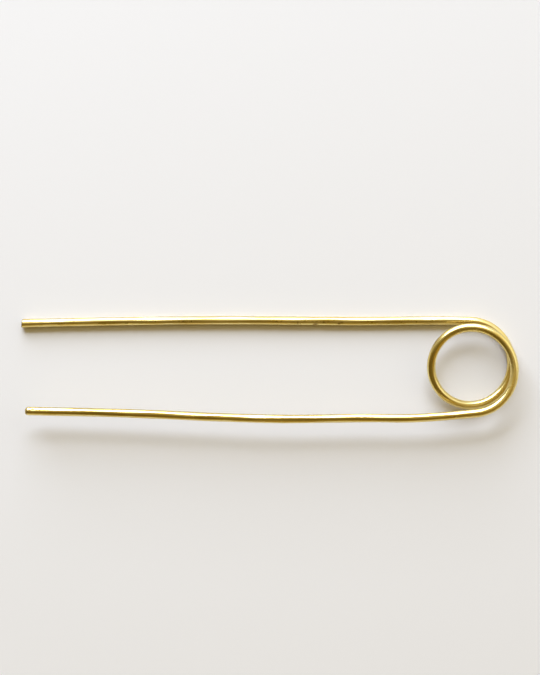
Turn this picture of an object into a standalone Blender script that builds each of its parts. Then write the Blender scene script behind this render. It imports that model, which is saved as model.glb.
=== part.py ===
"""A hairpin bent from one length of round brass wire: two long prongs and a sprung coil between them.

The pin lies as it is put down. One prong rests on the table along its whole length, and so does the first half
turn of the coil. The coil then climbs over that prong and holds the other prong up, level, on the far side.
The wire is modelled as its three working lengths, divided square across it just past the coil's curve.

Metres. +X runs from the prongs' tips to the coil, +Y from the raised prong to the resting one, and +Z is up.
The origin is on the table, under the middle of the pin's outline.
"""

import math

import bmesh
import bpy
import numpy as np

# Wire
WIRE_DIAMETER = 0.00205
WIRE_SIDES = 16
SEAM_GAP = 0.0003

# Coil. Angles run clockwise from above, from the point where the resting prong becomes the coil
COIL_MEAN_DIAMETER = 0.01892
COIL_END_ANGLE = math.radians(536)
COIL_LEVEL_ANGLE = math.radians(165)
COIL_STEP_ANGLE = math.radians(7.5)
COIL_LEAN = 0.00255
COIL_SPREAD = 0.0002
EARLY_CLIMB_SHARE = 0.62
PRONG_LIFT = 0.00527

# Prongs. A length runs from the coil's middle to the tip, and a bow is how far the prong strays outwards
RESTING_PRONG_LENGTH = 0.1058
RESTING_BOW = 0.00057
RESTING_STATION_SHARES = (0.11, 0.2, 0.34, 0.52, 0.69, 0.85, 1)
RESTING_BOW_SHARES = (0.1, -0.09, -0.05, 0.2, 0.04, -0.42, -1)
RAISED_PRONG_LENGTH = 0.1044
RAISED_BOW = 0.00116
RAISED_STATION_SHARES = (0.12, 0.25, 0.43, 0.6, 0.7, 0.8, 1)
RAISED_BOW_SHARES = (0.79, 0.82, 1, 0.56, 0.13, -0.2, -0.6)
RAISED_TIP_DROP = 0.00045
PRONG_RING_SPACING = 0.0026

# Tips. One is cut off with a slightly slanting face and barely deburred, the other is filed round
CUT_ROUNDING = 0.00022
CUT_FACE_SHARE = 0.8
CUT_SLANT = math.radians(10)
FILED_ROUNDING = 0.0008
FILED_FACE_SHARE = 0.36
FILED_SLANT = math.radians(4)
TIP_RINGS = 5

# Polished brass
BRASS_COLOUR = (0.78, 0.58, 0.2, 1)
BRASS_ROUGHNESS = 0.16
SHARP_EDGE = math.radians(40)

WIRE_RADIUS = WIRE_DIAMETER / 2
COIL_RADIUS = COIL_MEAN_DIAMETER / 2


def eased(share):
    """A share from 0 to 1 that starts and ends with no slope."""
    share = np.clip(share, 0, 1)
    return share * share * (3 - 2 * share)


def coil_points(angle):
    """The coil's centre line: a circle in plan, whose middle leans steadily aside.

    Once the wire climbs, the circle also spreads a little, and it has drawn in again where the prong begins.
    """
    angle = np.asarray(angle, float)
    climb = np.clip((angle - COIL_LEVEL_ANGLE) / (COIL_END_ANGLE - COIL_LEVEL_ANGLE), 0, 1)
    radius = COIL_RADIUS + COIL_SPREAD * np.sin(math.pi * climb) ** 2
    x = radius * np.sin(angle)
    y = radius * np.cos(angle) - COIL_LEAN * angle / COIL_END_ANGLE
    z = WIRE_RADIUS + PRONG_LIFT * eased(climb**EARLY_CLIMB_SHARE)
    return np.stack([x, y, z], axis=-1)


def coil_lead(angle, outwards):
    """Where the straight lead at one end of the coil stops, and the way that it runs: one diameter, level."""
    along_x = COIL_RADIUS * math.cos(angle)
    along_y = -COIL_RADIUS * math.sin(angle) - COIL_LEAN / COIL_END_ANGLE
    way = outwards * np.array([along_x, along_y, 0]) / math.hypot(along_x, along_y)
    return coil_points(angle) + way * WIRE_DIAMETER, way


def curve_through(stations, offsets, first_slope, at):
    """A smooth curve through hand-placed offsets: cubic pieces, with each slope taken from its neighbours."""
    slopes = np.gradient(offsets, stations)
    slopes[0] = first_slope
    piece = np.clip(np.searchsorted(stations, at, side="right") - 1, 0, len(stations) - 2)
    span = np.diff(stations)[piece]
    share = (at - stations[piece]) / span
    rise = (offsets[piece + 1] - offsets[piece]) * eased(share)
    leave = slopes[piece] * span * share * (1 - share) ** 2
    arrive = slopes[piece + 1] * span * share**2 * (1 - share)
    return offsets[piece] + rise + leave - arrive


def prong_line(lead, way, side, length, bow, station_shares, bow_shares, drop, rounding):
    """A prong's centre line, on from its lead, with how far each point is from the prong's tip."""
    reach = length + lead[0]
    stations = np.concatenate([[0], lead[0] + length * np.array(station_shares)])
    offsets = np.concatenate([[0], bow * np.array(bow_shares)])
    even_end = reach - WIRE_DIAMETER
    even = np.linspace(SEAM_GAP, even_end, round(even_end / PRONG_RING_SPACING))
    quarter = np.linspace(0, math.pi / 2, TIP_RINGS)
    distance = np.concatenate([even, reach - rounding * (1 - np.sin(quarter))])
    x = lead[0] - distance
    y = lead[1] + side * curve_through(stations, offsets, -side * way[1] / way[0], distance)
    z = lead[2] - drop * (distance / reach) ** 2
    return np.stack([x, y, z], axis=-1), reach - distance


def tube_rings(line, from_tip=None, rounding=0, face_share=1, slant=0):
    """Rings of corners round a line, held upright so that the lowest facet is level and as low as the wire.

    Towards a tip the rings shrink along a quarter of an ellipse, and the last of them slant across the wire.
    """
    along = np.gradient(line, axis=0)
    along /= np.linalg.norm(along, axis=1, keepdims=True)
    across = np.cross(along, (0, 0, 1))
    across /= np.linalg.norm(across, axis=1, keepdims=True)
    upward = np.cross(across, along)
    corner = (np.arange(WIRE_SIDES) + 1 / 2) * 2 * math.pi / WIRE_SIDES
    radius = np.full(len(line), WIRE_RADIUS / math.cos(math.pi / WIRE_SIDES))
    forward = np.zeros(len(line))
    if from_tip is not None:
        rounded = np.clip(1 - from_tip / rounding, 0, 1)
        radius *= face_share + (1 - face_share) * np.sqrt(1 - rounded**2)
        forward = math.tan(slant) * eased(1 - from_tip / WIRE_DIAMETER)
    aside = (radius[:, None] * np.cos(corner))[..., None]
    above = (radius[:, None] * np.sin(corner))[..., None]
    tangent = along[:, None]
    return line[:, None] + aside * (across[:, None] + forward[:, None, None] * tangent) + above * upward[:, None]


def tube(name, rings, origin, material):
    """A closed tube: a wall of quads from each ring to the next, and a flat face over each end."""
    shape = bmesh.new()
    corners = [[shape.verts.new(point) for point in ring] for ring in rings - origin]
    for ring, following in zip(corners, corners[1:]):
        for side in range(WIRE_SIDES):
            other = (side + 1) % WIRE_SIDES
            shape.faces.new((ring[side], ring[other], following[other], following[side]))
    shape.faces.new(corners[0])
    shape.faces.new(corners[-1])
    bmesh.ops.recalc_face_normals(shape, faces=shape.faces)
    mesh = bpy.data.meshes.new(name)
    shape.to_mesh(mesh)
    shape.free()
    mesh.shade_smooth()
    mesh.set_sharp_from_angle(angle=SHARP_EDGE)
    mesh.materials.append(material)
    length_of_wire = bpy.data.objects.new(name, mesh)
    length_of_wire.location = origin
    bpy.context.collection.objects.link(length_of_wire)


def brass():
    """Bare polished brass."""
    material = bpy.data.materials.new("polished_brass")
    material.use_nodes = True
    shader = material.node_tree.nodes["Principled BSDF"]
    shader.inputs["Base Color"].default_value = BRASS_COLOUR
    shader.inputs["Metallic"].default_value = 1
    shader.inputs["Roughness"].default_value = BRASS_ROUGHNESS
    return material


def least_self_gap(line):
    """The least open space between stretches of the wire that lie further apart along it than a coil's width."""
    run = np.concatenate([[0], np.cumsum(np.linalg.norm(np.diff(line, axis=0), axis=1))])
    apart = np.linalg.norm(line[:, None] - line[None], axis=-1)
    return apart[np.abs(run[:, None] - run) > COIL_MEAN_DIAMETER].min() - WIRE_DIAMETER


def main():
    for old in list(bpy.data.objects):
        bpy.data.objects.remove(old, do_unlink=True)

    turns = np.linspace(0, COIL_END_ANGLE, round(COIL_END_ANGLE / COIL_STEP_ANGLE))
    resting_lead, resting_way = coil_lead(0, -1)
    raised_lead, raised_way = coil_lead(COIL_END_ANGLE, 1)
    coil = np.concatenate([[resting_lead], coil_points(turns), [raised_lead]])
    resting, from_cut_tip = prong_line(
        resting_lead,
        resting_way,
        1,
        RESTING_PRONG_LENGTH,
        RESTING_BOW,
        RESTING_STATION_SHARES,
        RESTING_BOW_SHARES,
        0,
        CUT_ROUNDING,
    )
    raised, from_filed_tip = prong_line(
        raised_lead,
        raised_way,
        -1,
        RAISED_PRONG_LENGTH,
        RAISED_BOW,
        RAISED_STATION_SHARES,
        RAISED_BOW_SHARES,
        RAISED_TIP_DROP,
        FILED_ROUNDING,
    )

    lengths = {
        "resting_prong": tube_rings(resting, from_cut_tip, CUT_ROUNDING, CUT_FACE_SHARE, CUT_SLANT),
        "coil": tube_rings(coil),
        "raised_prong": tube_rings(raised, from_filed_tip, FILED_ROUNDING, FILED_FACE_SHARE, FILED_SLANT),
    }
    corners = np.concatenate([rings.reshape(-1, 3) for rings in lengths.values()])
    to_origin = -(corners.min(axis=0) + corners.max(axis=0)) / 2
    to_origin[2] = 0

    # The raised prong swings about the middle of the coil's climbing turn
    climb_middle = (COIL_LEVEL_ANGLE + COIL_END_ANGLE) / 2
    flex_axis = to_origin + (0, -COIL_LEAN * climb_middle / COIL_END_ANGLE, 0)
    polished = brass()
    for name, rings in lengths.items():
        tube(name, rings + to_origin, flex_axis, polished)
    gap = least_self_gap(np.concatenate([resting[::-1], coil, raised]))
    print(f"coil axis at {flex_axis}, least gap of the wire to itself {gap:.5f}")


main()
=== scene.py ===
"""A hairpin of polished brass wire: two prongs and the sprung coil between them, as it lies on a pale table.

Metres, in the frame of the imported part: +X runs from the prongs' tips to the coil, +Y from the raised prong to the
resting one, and +Z is up from the table. Distances along the wire are counted from where the resting prong meets
the coil: below zero on the resting prong, above it on the coil and the raised prong.
"""

import math

import bpy
import numpy as np
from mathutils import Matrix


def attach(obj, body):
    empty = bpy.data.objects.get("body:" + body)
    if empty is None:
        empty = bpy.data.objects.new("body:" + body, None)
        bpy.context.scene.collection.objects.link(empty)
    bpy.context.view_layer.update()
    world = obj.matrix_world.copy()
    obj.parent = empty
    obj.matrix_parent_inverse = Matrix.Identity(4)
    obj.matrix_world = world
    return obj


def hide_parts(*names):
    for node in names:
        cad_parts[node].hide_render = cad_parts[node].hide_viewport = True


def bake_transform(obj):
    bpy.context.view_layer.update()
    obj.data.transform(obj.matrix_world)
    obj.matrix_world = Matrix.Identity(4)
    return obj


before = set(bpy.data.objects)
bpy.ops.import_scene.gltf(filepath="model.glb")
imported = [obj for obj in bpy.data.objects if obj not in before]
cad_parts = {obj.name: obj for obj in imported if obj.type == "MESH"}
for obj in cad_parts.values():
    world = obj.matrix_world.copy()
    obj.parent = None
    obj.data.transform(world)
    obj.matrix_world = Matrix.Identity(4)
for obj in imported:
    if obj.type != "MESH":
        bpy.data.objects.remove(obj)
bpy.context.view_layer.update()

# Coil
# One and a half open turns of the brass wire, wound round a mandrel and let go. It is the pin's spring: its lower
# half lies on the table and is one with the resting prong, and its upper end carries the raised prong.
WIRE_RADIUS = 0.001025
COIL_RADIUS = 0.00946
COIL_CENTRE = np.array([0.047698, 0.0018605, 0])
COIL_END_ANGLE = math.radians(536)
COIL_LEVEL_ANGLE = math.radians(165)
COIL_LEAN = 0.00255
COIL_SPREAD = 0.0002
EARLY_CLIMB_POWER = 0.62
PRONG_LIFT = 0.00527
LEAD_LENGTH = 0.00205
RING_SPACING = 0.00025
WIRE_SIDES = 72
SECTION_ANGLES = np.arange(WIRE_SIDES) * 2 * math.pi / WIRE_SIDES
CREASE_ANGLE = math.radians(50)

# Shallow flats of hand-worked wire: how many there are round it, how deep, how far along they drift once round
FLAT_COUNTS = np.array([2, 3, 5, 7])
FLAT_DEPTHS = np.array([0.000014, 0.000011, 0.000009, 0.000006])
FLAT_DRIFTS = np.array([0.093, -0.061, 0.117, -0.071])
FLAT_STARTS = np.array([0.4, 1.9, 3.1, 5.2])
FLAT_UNEVEN_LENGTH = 0.0031

# Stretches that the mandrel and the pliers left hazy: distance along the wire, length, how hazy
HAZY_STRETCHES = (
    (0.009, 0.007, 0.9),
    (0.034, 0.008, 0.45),
    (0.062, 0.006, 0.3),
    (0.079, 0.006, 0.4),
)

# The brass: clean, with a film from handling, where a tool has cut or dented it, and darker and browner on its lower
# half as painted shade
CLEAN_COLOUR = (0.93, 0.8, 0.37, 1)
HANDLED_COLOUR = (0.86, 0.67, 0.22, 1)
TOOLED_COLOUR = (0.3, 0.19, 0.06, 1)
UNDERSIDE_SHADE_COLOUR = (0.56, 0.43, 0.19, 1)
EDGE_TINT = (0.88, 0.79, 0.6, 1)
TOOLED_COVER = 0.85
BRIGHT_ROUGHNESS = 0.18
DULL_ROUGHNESS = 0.28
HAZY_ROUGHNESS = 0.4
TOOLED_ROUGHNESS = 0.45
UNDERSIDE_ROUGHNESS = 0.5

# Heights above the middle of the wire's section: full painted shade on the lower half below the first, none above the
# second
FULL_UNDERSIDE_SHADE_HEIGHT = 0.0001
NO_UNDERSIDE_SHADE_HEIGHT = 0.0004

# Patterns on the unrolled wire: scale along it and across it, per metre, then detail and roughness of the noise
FILM_PATTERN = (170, 1100, 4, 0.65)
GLOSS_PATTERN = (300, 1500, 4, 0.55)
STREAK_PATTERN = (260, 2300, 3, 0.55)
DRAWN_PATTERN = (60, 9000, 4, 0.6)
RUBBED_PATTERN = (2600, 5200, 3, 0.7)

# The spans of the noise that the film and the gloss use
FILM_SPAN = (0.42, 0.66)
GLOSS_SPAN = (0.35, 0.75)

# How deep the relief is and how strongly it shows, which for the streaks goes from clean to hazy brass
STREAK_DEPTH = 0.00004
STREAK_STRENGTHS = (0.35, 0.9)
DRAWN_DEPTH = 0.000004
DRAWN_STRENGTH = 0.5
RUBBED_DEPTH = 0.000002
RUBBED_STRENGTH = 0.35


def eased(share):
    """A share from 0 to 1 that starts and ends with no slope: three squares less two cubes."""
    share = np.clip(share, 0, 1)
    return share * share * (3 - 2 * share)


def coil_points(angle):
    """Centre line: a circle in plan, x by the sine and y by the cosine, whose middle leans steadily to -Y.

    Past the level part it climbs on an eased curve, and its radius swells by a sine squared and draws in again.
    """
    angle = np.asarray(angle, float)
    climb = np.clip((angle - COIL_LEVEL_ANGLE) / (COIL_END_ANGLE - COIL_LEVEL_ANGLE), 0, 1)
    radius = COIL_RADIUS + COIL_SPREAD * np.sin(math.pi * climb) ** 2
    x = radius * np.sin(angle)
    y = radius * np.cos(angle) - COIL_LEAN * angle / COIL_END_ANGLE
    z = WIRE_RADIUS + PRONG_LIFT * eased(climb**EARLY_CLIMB_POWER)
    return COIL_CENTRE + np.stack([x, y, z], axis=-1)


def travel(angle):
    """The level direction in which the wire runs at an angle of the coil: the circle's tangent, less the lean."""
    way = np.array([COIL_RADIUS * math.cos(angle), -COIL_RADIUS * math.sin(angle) - COIL_LEAN / COIL_END_ANGLE, 0])
    return way / np.linalg.norm(way)


def distances_along(line):
    """Distance from the first point of a line to each of its points: the running sum of its steps."""
    steps = np.linalg.norm(np.diff(line, axis=0), axis=1)
    return np.concatenate([[0], np.cumsum(steps)])


def flat_depths(run, turn):
    """How far the flats lie below the round wire, at distances along it and angles round it.

    Each is one plus a sine round the wire, times its depth, and the sine's phase drifts along the wire, unevenly.
    """
    flats = []
    for count, depth, drift, start in zip(FLAT_COUNTS, FLAT_DEPTHS, FLAT_DRIFTS, FLAT_STARTS):
        uneven = np.sin(run / FLAT_UNEVEN_LENGTH + start)
        flats.append(depth * (1 + np.sin(count * turn + 2 * math.pi * run / drift + start + uneven)))
    return sum(flats)


def mark_depths(run, turn, marks):
    """How deep the tool marks are, at distances along the wire and angles round it: each is a bell curve both ways."""
    dents = np.zeros(np.broadcast(run, turn).shape)
    for place, side, length, width, depth in marks:
        off = (turn - side + math.pi) % (2 * math.pi) - math.pi
        dents += depth * np.exp(-(((run - place) / length) ** 2) - (off / width) ** 2)
    return dents


def wire_surface(line, run, first_way, last_way, marks=()):
    """Rings carried along a line, and how deep the tool marks are on them.

    A point is the line's, plus the radius times cosine across and sine upward, with the frame held upright.
    """
    along = np.gradient(line, axis=0)
    along[0], along[-1] = first_way, last_way
    along /= np.linalg.norm(along, axis=1, keepdims=True)
    across = np.cross(along, (0, 0, 1))
    across /= np.linalg.norm(across, axis=1, keepdims=True)
    upward = np.cross(across, along)
    dents = mark_depths(run[:, None], SECTION_ANGLES[None], marks)
    radius = WIRE_RADIUS - flat_depths(run[:, None], SECTION_ANGLES[None]) - dents
    aside = (radius * np.cos(SECTION_ANGLES))[..., None]
    above = (radius * np.sin(SECTION_ANGLES))[..., None]
    return line[:, None] + aside * across[:, None] + above * upward[:, None], dents


def wire_piece(name, rings, run, haze, tooling, material):
    """A closed tube: quads from each ring to the next, and a fan of triangles over each end."""
    count = len(rings)
    corner = np.arange(count * WIRE_SIDES).reshape(count, WIRE_SIDES)
    beside = np.roll(corner, -1, axis=1)
    quads = np.stack([corner[:-1], corner[1:], beside[1:], beside[:-1]], axis=-1).reshape(-1, 4)
    poles = count * WIRE_SIDES + np.arange(2)
    first_fan = np.stack([np.full(WIRE_SIDES, poles[0]), corner[0], beside[0]], axis=-1)
    last_fan = np.stack([np.full(WIRE_SIDES, poles[1]), beside[-1], corner[-1]], axis=-1)
    points = np.concatenate([rings.reshape(-1, 3), rings[[0, -1]].mean(axis=1)])
    mesh = bpy.data.meshes.new(name)
    mesh.from_pydata(points, [], quads.tolist() + first_fan.tolist() + last_fan.tolist())
    mesh.shade_smooth()
    mesh.set_sharp_from_angle(angle=CREASE_ANGLE)

    # The unrolled wire, for the patterns that follow it: distance along it, then the place in its round section
    unrolled = np.zeros((count, WIRE_SIDES, 3))
    unrolled[..., 0] = run[:, None]
    radius = np.linalg.norm(rings - rings.mean(axis=1, keepdims=True), axis=-1)
    unrolled[..., 1] = radius * np.cos(SECTION_ANGLES)
    unrolled[..., 2] = radius * np.sin(SECTION_ANGLES)
    unrolled = np.concatenate([unrolled.reshape(-1, 3), [[run[0], 0, 0], [run[-1], 0, 0]]])
    mesh.attributes.new("along_wire", "FLOAT_VECTOR", "POINT").data.foreach_set("vector", unrolled.ravel())
    for finish, amount in (("haze", haze), ("tooling", tooling)):
        amount = np.concatenate([amount.ravel(), amount[[0, -1]].mean(axis=1)])
        mesh.attributes.new(finish, "FLOAT", "POINT").data.foreach_set("value", amount)
    mesh.materials.append(material)
    piece = bpy.data.objects.new(name, mesh)
    bpy.context.collection.objects.link(piece)
    return piece


def feed(tree, socket, value):
    """Sets a socket to a number or a colour, or links another node's output to it."""
    if isinstance(value, bpy.types.NodeSocket):
        tree.links.new(value, socket)
    else:
        socket.default_value = value


def mixed(tree, kind, first, second, factor, blend="MIX"):
    """The second number or colour mixed over the first, by a factor from 0 to 1."""
    mix = tree.nodes.new("ShaderNodeMix")
    mix.data_type = kind
    mix.blend_type = blend
    feed(tree, mix.inputs["A"], first)
    feed(tree, mix.inputs["B"], second)
    feed(tree, mix.inputs["Factor"], factor)
    return mix.outputs["Result"]


def ranged(tree, value, span, to_span, way="LINEAR"):
    """A value's span, spread over another span and held inside it."""
    spread = tree.nodes.new("ShaderNodeMapRange")
    spread.interpolation_type = way
    for socket, number in zip(("From Min", "From Max", "To Min", "To Max"), (*span, *to_span)):
        spread.inputs[socket].default_value = number
    tree.links.new(value, spread.inputs["Value"])
    return spread.outputs["Result"]


def polished_brass():
    """Drawn brass, polished by hand: fine lines along the wire, short rubbing scratches and a few dull patches."""
    material = bpy.data.materials.new("polished_brass")
    material.use_nodes = True
    tree = material.node_tree
    shader = tree.nodes["Principled BSDF"]
    shader.inputs["Metallic"].default_value = 1
    shader.inputs["Specular Tint"].default_value = EDGE_TINT

    def carried(name, output):
        """A value that the mesh carries at each of its points."""
        attribute = tree.nodes.new("ShaderNodeAttribute")
        attribute.attribute_name = name
        return attribute.outputs[output]

    unrolled = carried("along_wire", "Vector")
    haze = carried("haze", "Fac")
    tooling = carried("tooling", "Fac")

    def noise(scale_along, scale_across, detail, roughness):
        """Noise on the unrolled wire, with its own scale along the wire and across it, per metre."""
        stretch = tree.nodes.new("ShaderNodeMapping")
        stretch.inputs["Scale"].default_value = (scale_along, scale_across, scale_across)
        tree.links.new(unrolled, stretch.inputs["Vector"])
        texture = tree.nodes.new("ShaderNodeTexNoise")
        texture.inputs["Scale"].default_value = 1
        texture.inputs["Detail"].default_value = detail
        texture.inputs["Roughness"].default_value = roughness
        tree.links.new(stretch.outputs["Vector"], texture.inputs["Vector"])
        return texture.outputs["Fac"]

    def relief(pattern, depth, strength, under=None):
        """A pattern raised over the relief under it, with its depth in metres."""
        bump = tree.nodes.new("ShaderNodeBump")
        bump.inputs["Distance"].default_value = depth
        feed(tree, bump.inputs["Strength"], strength)
        tree.links.new(noise(*pattern), bump.inputs["Height"])
        if under is not None:
            tree.links.new(under, bump.inputs["Normal"])
        return bump.outputs["Normal"]

    # Colour: clean brass, with a faint warmer film where it has been handled, and dark where it was tooled
    film = ranged(tree, noise(*FILM_PATTERN), FILM_SPAN, (0, 1))
    colour = mixed(tree, "RGBA", CLEAN_COLOUR, HANDLED_COLOUR, film)
    colour = mixed(tree, "RGBA", colour, TOOLED_COLOUR, ranged(tree, tooling, (0, 1), (0, TOOLED_COVER)))

    # The lower half of the wire is painted darker and browner: painted shade, which darkens its lower rims and dims
    # the light the wire throws onto the table
    section = tree.nodes.new("ShaderNodeSeparateXYZ")
    tree.links.new(unrolled, section.inputs["Vector"])
    underside_shade = ranged(tree, section.outputs["Z"], (FULL_UNDERSIDE_SHADE_HEIGHT, NO_UNDERSIDE_SHADE_HEIGHT), (1, 0))
    colour = mixed(tree, "RGBA", colour, UNDERSIDE_SHADE_COLOUR, underside_shade)
    tree.links.new(colour, shader.inputs["Base Color"])

    # Gloss: bright, duller in patches, hazy where it was gripped, and dull on tooled metal and on the lower half that
    # carries the painted shade
    gloss = ranged(tree, noise(*GLOSS_PATTERN), GLOSS_SPAN, (BRIGHT_ROUGHNESS, DULL_ROUGHNESS))
    gloss = mixed(tree, "FLOAT", gloss, HAZY_ROUGHNESS, haze)
    gloss = mixed(tree, "FLOAT", gloss, TOOLED_ROUGHNESS, tooling)
    gloss = mixed(tree, "FLOAT", gloss, UNDERSIDE_ROUGHNESS, underside_shade)
    tree.links.new(gloss, shader.inputs["Roughness"])

    # Relief: streaks where the wire was pulled through the hand, lines of the drawing die, short rubbed scratches
    streaked = relief(STREAK_PATTERN, STREAK_DEPTH, ranged(tree, haze, (0, 1), STREAK_STRENGTHS))
    drawn = relief(DRAWN_PATTERN, DRAWN_DEPTH, DRAWN_STRENGTH, streaked)
    rubbed = relief(RUBBED_PATTERN, RUBBED_DEPTH, RUBBED_STRENGTH, drawn)
    tree.links.new(rubbed, shader.inputs["Normal"])
    return material


brass = polished_brass()
coil_start = coil_points(0) - travel(0) * LEAD_LENGTH
coil_end = coil_points(COIL_END_ANGLE) + travel(COIL_END_ANGLE) * LEAD_LENGTH
coil_arc = COIL_RADIUS * COIL_END_ANGLE
coil_angles = np.linspace(0, COIL_END_ANGLE, round(coil_arc / RING_SPACING))
coil_line = np.concatenate([[coil_start], coil_points(coil_angles), [coil_end]])
coil_run = distances_along(coil_line)
coil_rings, coil_dents = wire_surface(coil_line, coil_run, travel(0), travel(COIL_END_ANGLE))
coil_haze = sum(share * np.exp(-(((coil_run - place) / length) ** 2)) for place, length, share in HAZY_STRETCHES)
coil_haze = np.repeat(coil_haze[:, None], WIRE_SIDES, axis=1)
coil = wire_piece("wound_coil", coil_rings, coil_run, coil_haze, coil_dents, brass)
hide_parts("coil")
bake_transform(coil)


# Resting prong
# The first length of the wire, straightened by hand and laid along the table. Its tip is nipped off with cutters,
# which leave a flat face a little out of square, and pliers have left small dents near its middle.
RESTING_PRONG_LENGTH = 0.1058
RESTING_BOW = 0.00057
RESTING_STATION_SHARES = np.array([0.11, 0.2, 0.34, 0.52, 0.69, 0.85, 1])
RESTING_BOW_SHARES = np.array([0.1, -0.09, -0.05, 0.2, 0.04, -0.42, -1])
RESTING_HAZE = 0.4
CUT_ROUNDING = 0.00022
CUT_FACE_SHARE = 0.8
CUT_SLANT = math.radians(10)
END_FACE_SHARES = np.array([0.66, 0.33])
FACE_RINGS = len(END_FACE_SHARES)
TIP_RINGS = 9
TIP_LENGTH = 0.0031
CLOSE_RING_SPACING = 0.00009
DENTED_STRETCH = (0.0272, 0.0402)
DEEP_DENT = 0.00004

# The dents: distance along the wire, angle round it, length, width as an angle, depth
RESTING_MARKS = np.array([
    [-0.0388, 0.95, 0.00022, 0.4, 0.00003],
    [-0.0346, 0.72, 0.0005, 0.3, 0.00006],
    [-0.0349, 0.3, 0.00025, 0.35, 0.00005],
    [-0.0327, 1.25, 0.0003, 0.25, 0.00003],
    [-0.0291, 0.85, 0.0003, 0.3, 0.00005],
    [-0.0285, 1.15, 0.0004, 0.22, 0.00003],
])


def curve_through(stations, offsets, first_slope, at):
    """A smooth curve through given offsets: cubic pieces, with each slope taken from its neighbours."""
    slopes = np.gradient(offsets, stations)
    slopes[0] = first_slope
    piece = np.clip(np.searchsorted(stations, at, side="right") - 1, 0, len(stations) - 2)
    span = np.diff(stations)[piece]
    share = (at - stations[piece]) / span
    rise = (offsets[piece + 1] - offsets[piece]) * eased(share)
    leave = slopes[piece] * span * share * (1 - share) ** 2
    arrive = slopes[piece + 1] * span * share**2 * (1 - share)
    return offsets[piece] + rise + leave - arrive


def prong_line(lead, slope, side, length, bow, station_shares, bow_shares, drop, rounding, close_up):
    """Centre line of a prong, on from its lead: straight along -X, with its bow to the side and its drop squared.

    Rings stand closer in a close-up stretch and near the tip, and crowd together on its rounding by a sine.
    """
    reach = length + lead[0] - COIL_CENTRE[0]
    stations = np.concatenate([[0], reach - length + length * station_shares])
    offsets = np.concatenate([[0], bow * bow_shares])
    even_end = reach - TIP_LENGTH
    even = np.linspace(0, even_end, round(even_end / RING_SPACING))
    even = even[(even < close_up[0]) | (even > close_up[1])]
    close = np.linspace(close_up[0], close_up[1], round((close_up[1] - close_up[0]) / CLOSE_RING_SPACING))
    even = np.sort(np.concatenate([even, close]))
    near_tip = np.linspace(even_end, reach - rounding, round(TIP_LENGTH / CLOSE_RING_SPACING))[1:-1]
    quarter = np.linspace(0, math.pi / 2, TIP_RINGS)
    distance = np.concatenate([even, near_tip, reach - rounding * (1 - np.sin(quarter))])
    x = lead[0] - distance
    y = lead[1] + side * curve_through(stations, offsets, slope, distance)
    z = lead[2] - drop * (distance / reach) ** 2
    return np.stack([x, y, z], axis=-1), reach - distance


def worked_tip(line, rings, from_tip, rounding, face_share, slant):
    """Rings drawn in towards a tip along a quarter ellipse and slanted across the wire, then a face of inner rings."""
    rounded = np.clip(1 - from_tip / rounding, 0, 1)
    share = face_share + (1 - face_share) * np.sqrt(1 - rounded**2)
    spokes = (rings - line[:, None]) * share[:, None, None]
    lean = math.tan(slant) * eased(1 - from_tip / (2 * WIRE_RADIUS))
    spokes[..., 0] += lean[:, None] * spokes[..., 1]
    face = line[-1] + spokes[-1] * END_FACE_SHARES[:, None, None]
    return np.concatenate([line[:, None] + spokes, face])


resting_way = travel(0)
resting_line, from_cut_tip = prong_line(
    lead=coil_start,
    slope=-resting_way[1] / resting_way[0],
    side=1,
    length=RESTING_PRONG_LENGTH,
    bow=RESTING_BOW,
    station_shares=RESTING_STATION_SHARES,
    bow_shares=RESTING_BOW_SHARES,
    drop=0,
    rounding=CUT_ROUNDING,
    close_up=DENTED_STRETCH,
)
resting_run = -distances_along(resting_line)

# The wire runs towards the coil, so the prong is turned end for end, tip first
resting_rings, resting_dents = wire_surface(
    resting_line[::-1], resting_run[::-1], resting_line[-2] - resting_line[-1], resting_way, RESTING_MARKS
)
resting_rings = worked_tip(
    resting_line, resting_rings[::-1], from_cut_tip, CUT_ROUNDING, CUT_FACE_SHARE, CUT_SLANT
)[::-1]
resting_run = np.concatenate([np.full(FACE_RINGS, resting_run[-1]), resting_run[::-1]])

# Tooled all over on the cut face and its rounding, and in the dents by their depth
resting_tooling = np.clip(resting_dents / DEEP_DENT, 0, 1)
resting_tooling = np.concatenate([np.ones((FACE_RINGS, WIRE_SIDES)), resting_tooling])
resting_tooling[: FACE_RINGS + TIP_RINGS - 1] = 1
resting_haze = np.full(resting_tooling.shape, RESTING_HAZE)
resting = wire_piece("resting_prong_wire", resting_rings, resting_run, resting_haze, resting_tooling, brass)
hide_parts("resting_prong")
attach(resting, "pin_base")


# Raised prong
# The last length of the wire, held up above the table by the coil. It keeps two slight bends from the hand, and its
# tip is filed round so that it slides into hair.
RAISED_PRONG_LENGTH = 0.1044
RAISED_BOW = 0.00116
RAISED_STATION_SHARES = np.array([0.12, 0.25, 0.43, 0.6, 0.7, 0.8, 1])
RAISED_BOW_SHARES = np.array([0.79, 0.82, 1, 0.56, 0.13, -0.2, -0.6])
RAISED_TIP_DROP = 0.00045
FILED_ROUNDING = 0.0008
FILED_FACE_SHARE = 0.36
FILED_SLANT = math.radians(4)
FILED_TOOLING = 0.6

# A short stretch of closer rings, just ahead of those that every prong has near its tip
CLOSE_STRETCH = (0.0982, 0.0991)

# The nick: distance from the tip, angle round the wire, length, width as an angle, depth
NICK_FROM_TIP = 0.0019
NICK_SHAPE = (1.15, 0.0004, 0.25, 0.00006)

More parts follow.
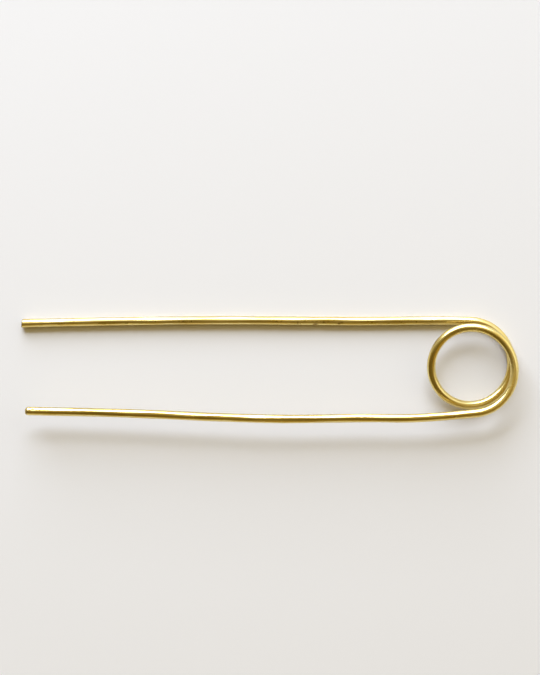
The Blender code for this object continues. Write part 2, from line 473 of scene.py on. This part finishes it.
raised_way = travel(COIL_END_ANGLE)
raised_line, from_filed_tip = prong_line(
    lead=coil_end,
    slope=raised_way[1] / raised_way[0],
    side=-1,
    length=RAISED_PRONG_LENGTH,
    bow=RAISED_BOW,
    station_shares=RAISED_STATION_SHARES,
    bow_shares=RAISED_BOW_SHARES,
    drop=RAISED_TIP_DROP,
    rounding=FILED_ROUNDING,
    close_up=CLOSE_STRETCH,
)
raised_run = coil_run[-1] + distances_along(raised_line)
raised_marks = np.array([[raised_run[-1] - NICK_FROM_TIP, *NICK_SHAPE]])
raised_rings, raised_dents = wire_surface(
    raised_line, raised_run, raised_way, raised_line[-1] - raised_line[-2], raised_marks
)
raised_rings = worked_tip(raised_line, raised_rings, from_filed_tip, FILED_ROUNDING, FILED_FACE_SHARE, FILED_SLANT)
raised_run = np.concatenate([raised_run, np.full(FACE_RINGS, raised_run[-1])])

# Tooled evenly on the filed tip, less than on a cut face, and in the nick by its depth
raised_tooling = np.clip(raised_dents / DEEP_DENT, 0, 1)
raised_tooling = np.concatenate([raised_tooling, np.zeros((FACE_RINGS, WIRE_SIDES))])
raised_tooling[-FACE_RINGS - TIP_RINGS + 2 :] = FILED_TOOLING
raised_haze = np.zeros(raised_tooling.shape)
raised = wire_piece("raised_prong_wire", raised_rings, raised_run, raised_haze, raised_tooling, brass)
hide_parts("raised_prong")
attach(raised, "sprung_prong")


# Table, light and camera
# The pin lies on a plain pale sheet, lit by a soft window past its far side and slightly to the left. The rest of
# the room is dim and warm, with a few soft brighter patches for the wire to mirror. The camera looks straight down.
TABLE_SIZE = 12
PAPER_COLOUR = (0.88, 0.88, 0.88, 1)
PAPER_ROUGHNESS = 0.9
PAPER_GLOSS = 0.2
LAMP_COLOUR = (0.915, 1.015, 1.22)
DIM_ROOM_COLOUR = (0.14, 0.093, 0.018, 1)

# Soft patches of the room: bearing from +Y towards +X and elevation, in degrees, cosine of the radius, colour
ROOM_PATCHES = (
    (58, 24, 0.73, (1.1, 1.08, 0.96, 1)),
    (0, 9, 0.86, (1.6, 1.65, 1.75, 1)),
    (-60, 26, 0.76, (0.25, 0.22, 0.13, 1)),
    (120, 34, 0.72, (0.24, 0.16, 0.04, 1)),
    (0, 64, 0.8, (0.42, 0.33, 0.14, 1)),
    (180, 12, 0.85, (0.25, 0.18, 0.06, 1)),
)

SENSOR_WIDTH = 36
CAMERA_HEIGHT = 0.43
VIEW_HEIGHT = 0.1594
VIEW_MIDDLE = (0.00033, 0.00747)

table_mesh = bpy.data.meshes.new("table")
half = TABLE_SIZE / 2
table_mesh.from_pydata([(-half, -half, 0), (half, -half, 0), (half, half, 0), (-half, half, 0)], [], [(0, 1, 2, 3)])
table = bpy.data.objects.new("table", table_mesh)
bpy.context.collection.objects.link(table)
paper = bpy.data.materials.new("pale_paper")
paper.use_nodes = True
paper_inputs = paper.node_tree.nodes["Principled BSDF"].inputs
paper_inputs["Base Color"].default_value = PAPER_COLOUR
paper_inputs["Roughness"].default_value = PAPER_ROUGHNESS
paper_inputs["Specular IOR Level"].default_value = PAPER_GLOSS
table_mesh.materials.append(paper)

scene = bpy.context.scene
scene.view_settings.view_transform = "Standard"

world = bpy.data.worlds.new("room")
scene.world = world
world.use_nodes = True
room = world.node_tree
direction = room.nodes.new("ShaderNodeTexCoord").outputs["Generated"]


def patch_share(bearing, elevation, edge_cosine):
    """A soft round patch of the room, by the cosine of the angle from its middle: eased from 0 at its edge to 1."""
    bearing, elevation = math.radians(bearing), math.radians(elevation)
    level = math.cos(elevation)
    dot = room.nodes.new("ShaderNodeVectorMath")
    dot.operation = "DOT_PRODUCT"
    dot.inputs[1].default_value = (level * math.sin(bearing), level * math.cos(bearing), math.sin(elevation))
    room.links.new(direction, dot.inputs[0])
    return ranged(room, dot.outputs["Value"], (edge_cosine, 1), (0, 1), "SMOOTHSTEP")


room_colour = DIM_ROOM_COLOUR
for bearing, elevation, edge_cosine, patch_colour in ROOM_PATCHES:
    patch = patch_share(bearing, elevation, edge_cosine)
    room_colour = mixed(room, "RGBA", room_colour, patch_colour, patch, "ADD")
background = room.nodes["Background"]
room.links.new(room_colour, background.inputs["Color"])
background.inputs["Strength"].default_value = 1


def softbox(name, distance, elevation, bearing, wide, high, radiance):
    """A rectangular lamp that faces the pin, from an elevation and a bearing from +Y towards -X, in degrees.

    Its power is pi times its area times its radiance.
    """
    elevation, bearing = math.radians(elevation), math.radians(bearing)
    lamp_data = bpy.data.lights.new(name, "AREA")
    lamp_data.shape = "RECTANGLE"
    lamp_data.size = wide
    lamp_data.size_y = high
    lamp_data.energy = math.pi * wide * high * radiance
    lamp_data.color = LAMP_COLOUR
    lamp = bpy.data.objects.new(name, lamp_data)
    bpy.context.collection.objects.link(lamp)
    lamp.location = (
        -distance * math.cos(elevation) * math.sin(bearing),
        distance * math.cos(elevation) * math.cos(bearing),
        distance * math.sin(elevation),
    )
    lamp.rotation_euler = (elevation - math.pi / 2, 0, bearing)


softbox("window", distance=1.3, elevation=30, bearing=13, wide=1.25, high=0.94, radiance=5.9)
softbox("window_sun", distance=1.2, elevation=45, bearing=13, wide=0.7, high=0.25, radiance=2.0)

camera_data = bpy.data.cameras.new("overhead")
camera_data.sensor_width = SENSOR_WIDTH
camera_data.lens = SENSOR_WIDTH * CAMERA_HEIGHT / VIEW_HEIGHT
camera = bpy.data.objects.new("overhead", camera_data)
camera.location = (*VIEW_MIDDLE, CAMERA_HEIGHT)
bpy.context.collection.objects.link(camera)
scene.camera = camera
